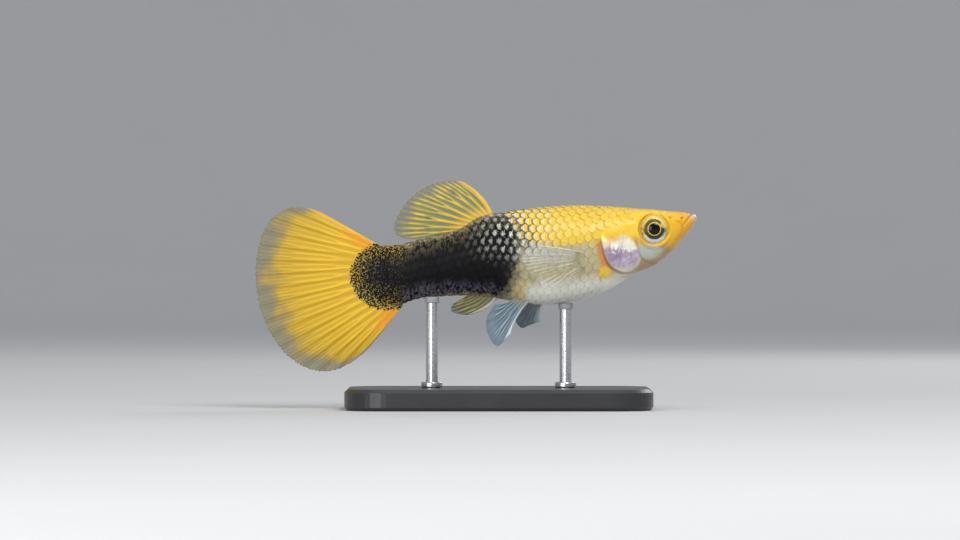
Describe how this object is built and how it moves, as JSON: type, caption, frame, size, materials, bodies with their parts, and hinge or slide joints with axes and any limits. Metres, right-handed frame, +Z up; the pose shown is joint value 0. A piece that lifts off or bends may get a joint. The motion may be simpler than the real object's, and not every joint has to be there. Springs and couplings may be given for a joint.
{
  "type": "fancy guppy museum model",
  "caption": "Life-size still model of a female fancy guppy with a fan-shaped tail, held in a swimming pose by two short rods on a flat base.",
  "frame": {"origin": "on the floor, under the middle of the model's length and width", "axes": "+X towards the snout, +Y to the fish's left side, +Z up"},
  "size_m": [0.052, 0.022, 0.0269],
  "materials": {
    "yellow_skin": "wet golden-yellow fish skin with fine guanine glitter",
    "belly_skin": "wet cream to silver fish skin with fine scales",
    "black_skin": "wet black fish skin with dull silver scales",
    "yellow_fin": "thin golden-yellow fin web with raised rays",
    "clear_fin": "thin bluish translucent fin web with pale rays",
    "eye": "glossy eye with a dark pupil and silver-gold iris",
    "stand": "satin black stand base",
    "rod": "brushed steel rods"
  },
  "bodies": {
    "root": {"head": "yellow_skin", "eye_right": "eye", "eye_left": "eye", "torso": "belly_skin", "tail": "black_skin", "tail_fin": "yellow_fin", "dorsal_fin": "yellow_fin", "anal_fin": "clear_fin", "pectoral_fin_right": "clear_fin", "pectoral_fin_left": "clear_fin", "pelvic_fin_right": "clear_fin", "pelvic_fin_left": "clear_fin", "stand_base": "stand", "stand_rod_front": "rod", "stand_rod_rear": "rod"}
  },
  "joints": []
}
